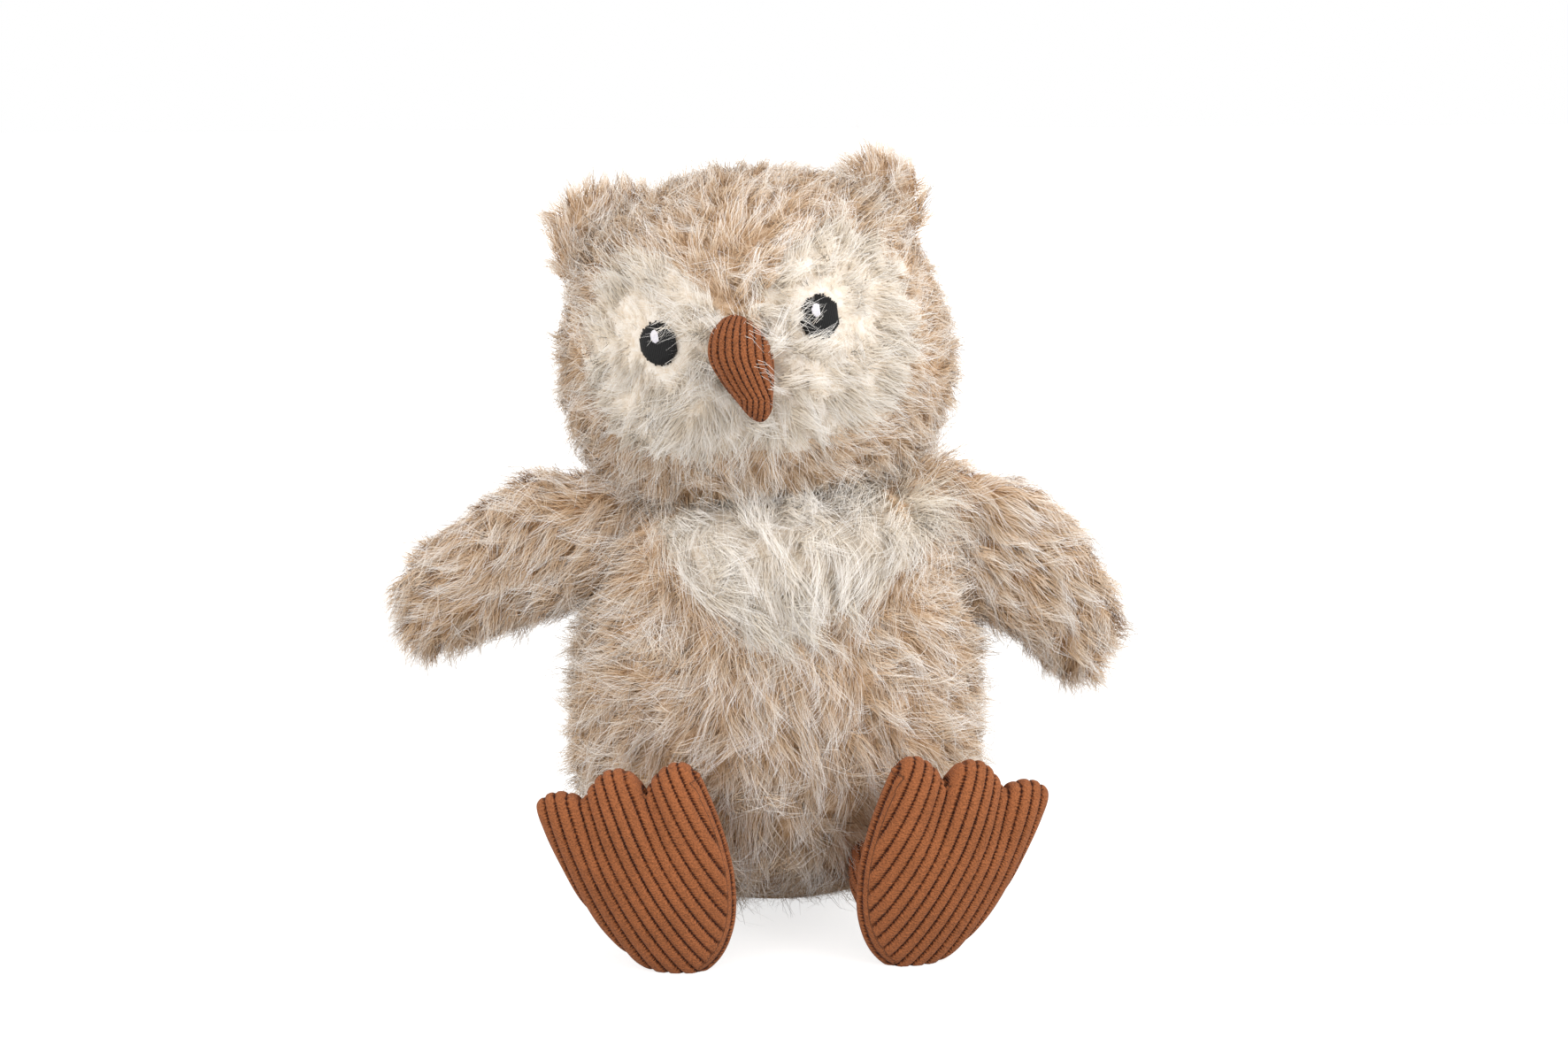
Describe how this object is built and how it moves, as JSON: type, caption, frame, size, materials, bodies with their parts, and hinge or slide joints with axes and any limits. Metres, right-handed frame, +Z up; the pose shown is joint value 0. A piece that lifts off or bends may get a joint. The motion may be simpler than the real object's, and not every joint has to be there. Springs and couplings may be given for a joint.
{
  "type": "plush owl",
  "caption": "Sitting plush owl with a round tilted head, tufted ears, cream face and bib, spread paddle wings and corduroy beak and three-toed feet.",
  "frame": {"origin": "on the ground under the middle of the toy's bounding box", "axes": "+Z up, the owl faces -Y, its own left side is +X"},
  "size_m": [0.1788, 0.1022, 0.1858],
  "materials": {
    "tan_pile": "long soft pile, combed",
    "cream_pile": "long soft pile, combed",
    "brown_corduroy": "matte ribbed corduroy",
    "black_thread": "matte embroidery",
    "white_thread": "satin embroidery",
    "fibre_filling": "loose matte fibre"
  },
  "bodies": {
    "torso": {"body_filling": "fibre_filling", "belly_panel": "tan_pile", "chest_bib": "cream_pile", "seat_panel": "tan_pile", "back_panel_left": "tan_pile", "back_panel_right": "tan_pile", "leg_left": "brown_corduroy", "leg_right": "brown_corduroy"},
    "head": {"face_panel_left": "cream_pile", "eye_left": "black_thread", "eye_glint_left": "white_thread", "face_panel_right": "cream_pile", "eye_right": "black_thread", "eye_glint_right": "white_thread", "crown_panel": "tan_pile", "cheek_panel_left": "tan_pile", "cheek_panel_right": "tan_pile", "head_filling": "fibre_filling", "ear_front_left": "tan_pile", "ear_back_left": "tan_pile", "ear_front_right": "tan_pile", "ear_back_right": "tan_pile", "beak_cover": "brown_corduroy", "beak_underside": "brown_corduroy", "beak_filling": "fibre_filling"},
    "wing_left": {"wing_front_left": "tan_pile", "wing_back_left": "tan_pile", "wing_filling_left": "fibre_filling"},
    "wing_right": {"wing_front_right": "tan_pile", "wing_back_right": "tan_pile", "wing_filling_right": "fibre_filling"},
    "foot_left": {"foot_sole_left": "brown_corduroy", "foot_instep_left": "brown_corduroy", "foot_filling_left": "fibre_filling"},
    "foot_right": {"foot_sole_right": "brown_corduroy", "foot_instep_right": "brown_corduroy", "foot_filling_right": "fibre_filling"}
  },
  "joints": [
    {"name": "head_turn", "type": "hinge", "parent": "torso", "child": "head", "pos_m": [0.00336, 0.00911, 0.102], "axis": [0, 0, 1], "range_deg": [-15, 15], "stiffness_Nm_per_rad": 0.05},
    {"name": "wing_left_lift", "type": "hinge", "parent": "torso", "child": "wing_left", "pos_m": [0.04436, 0.00411, 0.0945], "axis": [0, -1, 0], "range_deg": [-16, 26], "stiffness_Nm_per_rad": 0.08},
    {"name": "wing_right_lift", "type": "hinge", "parent": "torso", "child": "wing_right", "pos_m": [-0.03764, 0.00411, 0.0945], "axis": [0, 1, 0], "range_deg": [-26, 14], "stiffness_Nm_per_rad": 0.08},
    {"name": "foot_left_fold", "type": "hinge", "parent": "torso", "child": "foot_left", "pos_m": [0.02936, -0.02939, 0.015], "axis": [1, 0, 0], "range_deg": [-4, 24], "stiffness_Nm_per_rad": 0.1},
    {"name": "foot_right_fold", "type": "hinge", "parent": "torso", "child": "foot_right", "pos_m": [-0.02264, -0.02939, 0.015], "axis": [1, 0, 0], "range_deg": [-4, 24], "stiffness_Nm_per_rad": 0.1}
  ]
}
